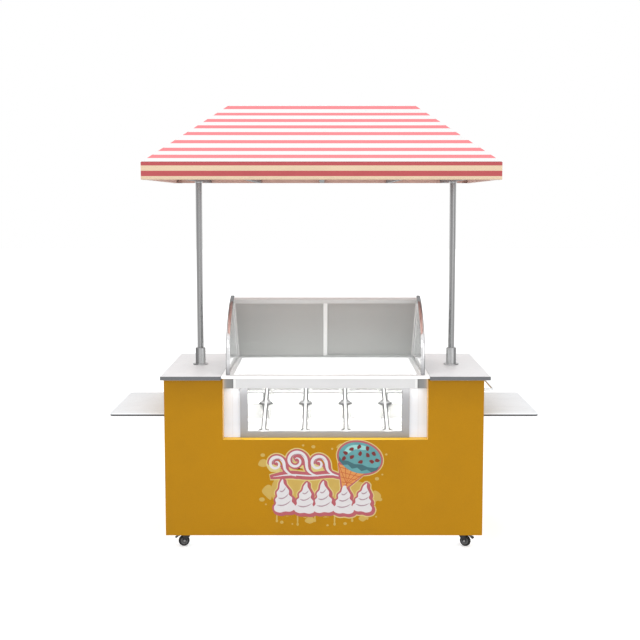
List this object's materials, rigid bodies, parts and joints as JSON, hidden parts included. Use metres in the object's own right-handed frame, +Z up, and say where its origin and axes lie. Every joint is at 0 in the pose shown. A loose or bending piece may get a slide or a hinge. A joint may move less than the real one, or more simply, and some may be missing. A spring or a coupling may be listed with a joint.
{
  "type": "push vending cart",
  "caption": "Push vending cart: panelled cabinet, recessed display freezer with pans, curved glass hood, counters, fold-down shelves, push handle, casters and striped hip-roof canopy.",
  "frame": {"origin": "on the floor below the centre of the cart's overall box, level with the bottom of the wheels", "axes": "+Z up, -Y out of the customer's front with the display window, +X towards the push handle"},
  "size_m": [2.4576, 1.328, 2.5419],
  "materials": {
    "cabinet_board": "satin mustard paint on board",
    "counter_top": "fine-grained light solid surface, satin",
    "shelf_top": "light solid surface, satin",
    "frame_metal": "satin, light wear",
    "brushed_steel": "brushed",
    "dark_steel": "brushed, darker",
    "polished_chrome": "polished",
    "white_enamel": "white enamel, satin",
    "grey_frame": "grey anodised",
    "clear_glass": "clear",
    "door_panel": "grey satin panel",
    "pan_steel": "fine brushed",
    "canopy_fabric": "woven, pink and white stripes",
    "caster_metal": "zinc plated, worn",
    "caster_tyre": "matt rubber",
    "pedal_plastic": "matt",
    "machine_black": "black enamel"
  },
  "bodies": {
    "cart": {"front_panel": "cabinet_board", "left_side_panel": "cabinet_board", "right_side_panel": "cabinet_board", "rear_panel": "cabinet_board", "left_counter": "counter_top", "right_counter": "counter_top", "chassis_frame": "frame_metal", "canopy_frame": "frame_metal", "vent_grille": "frame_metal", "post_left": "brushed_steel", "post_right": "brushed_steel", "post_socket_left": "brushed_steel", "post_socket_right": "brushed_steel", "shelf_hinge_left": "brushed_steel", "shelf_hinge_right": "brushed_steel", "pan_rail": "brushed_steel", "rail_end_left": "dark_steel", "rail_end_right": "dark_steel", "arc_trim_left": "polished_chrome", "arc_trim_right": "polished_chrome", "push_handle": "polished_chrome", "freezer_cabinet": "white_enamel", "front_rail": "white_enamel", "deck_frame": "white_enamel", "hood_rear_frame": "white_enamel", "window_frame": "grey_frame", "window_glass": "clear_glass", "side_glass_left": "clear_glass", "side_glass_right": "clear_glass", "front_curved_glass": "clear_glass", "pan_front_1": "pan_steel", "pan_front_2": "pan_steel", "pan_front_3": "pan_steel", "pan_front_4": "pan_steel", "pan_front_5": "pan_steel", "pan_rear_1": "pan_steel", "pan_rear_2": "pan_steel", "pan_rear_3": "pan_steel", "pan_rear_4": "pan_steel", "pan_rear_5": "pan_steel", "canopy_slope_front": "canopy_fabric", "canopy_slope_rear": "canopy_fabric", "canopy_ends": "canopy_fabric", "compressor_unit": "machine_black"},
    "caster_front_left": {"caster_fork_front_left": "caster_metal"},
    "wheel_front_left": {"caster_wheel_front_left": "caster_tyre"},
    "caster_front_right": {"caster_fork_front_right": "caster_metal"},
    "wheel_front_right": {"caster_wheel_front_right": "caster_tyre"},
    "caster_rear_left": {"caster_fork_rear_left": "caster_metal"},
    "wheel_rear_left": {"caster_wheel_rear_left": "caster_tyre"},
    "caster_rear_right": {"caster_fork_rear_right": "caster_metal"},
    "wheel_rear_right": {"caster_wheel_rear_right": "caster_tyre"},
    "brake_front_left": {"brake_pedal_front_left": "pedal_plastic"},
    "brake_front_right": {"brake_pedal_front_right": "pedal_plastic"},
    "side_shelf_left": {"shelf_left": "shelf_top"},
    "hood_door_left": {"sliding_door_left": "door_panel"},
    "storage_door_left": {"rear_door_left": "cabinet_board"},
    "side_shelf_right": {"shelf_right": "shelf_top"},
    "hood_door_right": {"sliding_door_right": "door_panel"},
    "storage_door_right": {"rear_door_right": "cabinet_board"}
  },
  "joints": [
    {"name": "swivel_front_left", "type": "hinge", "parent": "cart", "child": "caster_front_left", "pos_m": [-0.788, -0.364, 0.08], "axis": [0, 0, 1], "continuous": true},
    {"name": "roll_front_left", "type": "hinge", "parent": "caster_front_left", "child": "wheel_front_left", "pos_m": [-0.80935, -0.36932, 0.032], "axis": [0.2419, -0.9703, 0], "continuous": true},
    {"name": "swivel_front_right", "type": "hinge", "parent": "cart", "child": "caster_front_right", "pos_m": [0.797, -0.364, 0.08], "axis": [0, 0, 1], "continuous": true},
    {"name": "roll_front_right", "type": "hinge", "parent": "caster_front_right", "child": "wheel_front_right", "pos_m": [0.81642, -0.37433, 0.032], "axis": [0.4695, 0.8829, 0], "continuous": true},
    {"name": "swivel_rear_left", "type": "hinge", "parent": "cart", "child": "caster_rear_left", "pos_m": [-0.788, 0.364, 0.08], "axis": [0, 0, 1], "continuous": true},
    {"name": "roll_rear_left", "type": "hinge", "parent": "caster_rear_left", "child": "wheel_rear_left", "pos_m": [-0.80952, 0.36857, 0.032], "axis": [-0.2079, -0.9781, 0], "continuous": true},
    {"name": "swivel_rear_right", "type": "hinge", "parent": "cart", "child": "caster_rear_right", "pos_m": [0.797, 0.364, 0.08], "axis": [0, 0, 1], "continuous": true},
    {"name": "roll_rear_right", "type": "hinge", "parent": "caster_rear_right", "child": "wheel_rear_right", "pos_m": [0.81852, 0.36857, 0.032], "axis": [-0.2079, 0.9781, 0], "continuous": true},
    {"name": "brake_front_left", "type": "hinge", "parent": "caster_front_left", "child": "brake_front_left", "pos_m": [-0.81274, -0.37017, 0.0695], "axis": [0.2419, -0.9703, 0], "range_deg": [0, 8]},
    {"name": "brake_front_right", "type": "hinge", "parent": "caster_front_right", "child": "brake_front_right", "pos_m": [0.81951, -0.37597, 0.0695], "axis": [0.4695, 0.8829, 0], "range_deg": [0, 8]},
    {"name": "shelf_fold_left", "type": "hinge", "parent": "cart", "child": "side_shelf_left", "pos_m": [-0.9065, 0.0105, 0.75], "axis": [0, -1, 0], "range_deg": [0, 90]},
    {"name": "hood_door_slide_left", "type": "slide", "parent": "cart", "child": "hood_door_left", "axis": [1, 0, 0], "range_m": [0, 0.49]},
    {"name": "storage_door_swing_left", "type": "hinge", "parent": "cart", "child": "storage_door_left", "pos_m": [-0.864, 0.48, 0.55], "axis": [0, 0, 1], "range_deg": [0, 110]},
    {"name": "shelf_fold_right", "type": "hinge", "parent": "cart", "child": "side_shelf_right", "pos_m": [0.9065, 0.0105, 0.75], "axis": [0, 1, 0], "range_deg": [0, 90]},
    {"name": "hood_door_slide_right", "type": "slide", "parent": "cart", "child": "hood_door_right", "axis": [-1, 0, 0], "range_m": [0, 0.49]},
    {"name": "storage_door_swing_right", "type": "hinge", "parent": "cart", "child": "storage_door_right", "pos_m": [0.864, 0.48, 0.55], "axis": [0, 0, -1], "range_deg": [0, 110]}
  ]
}
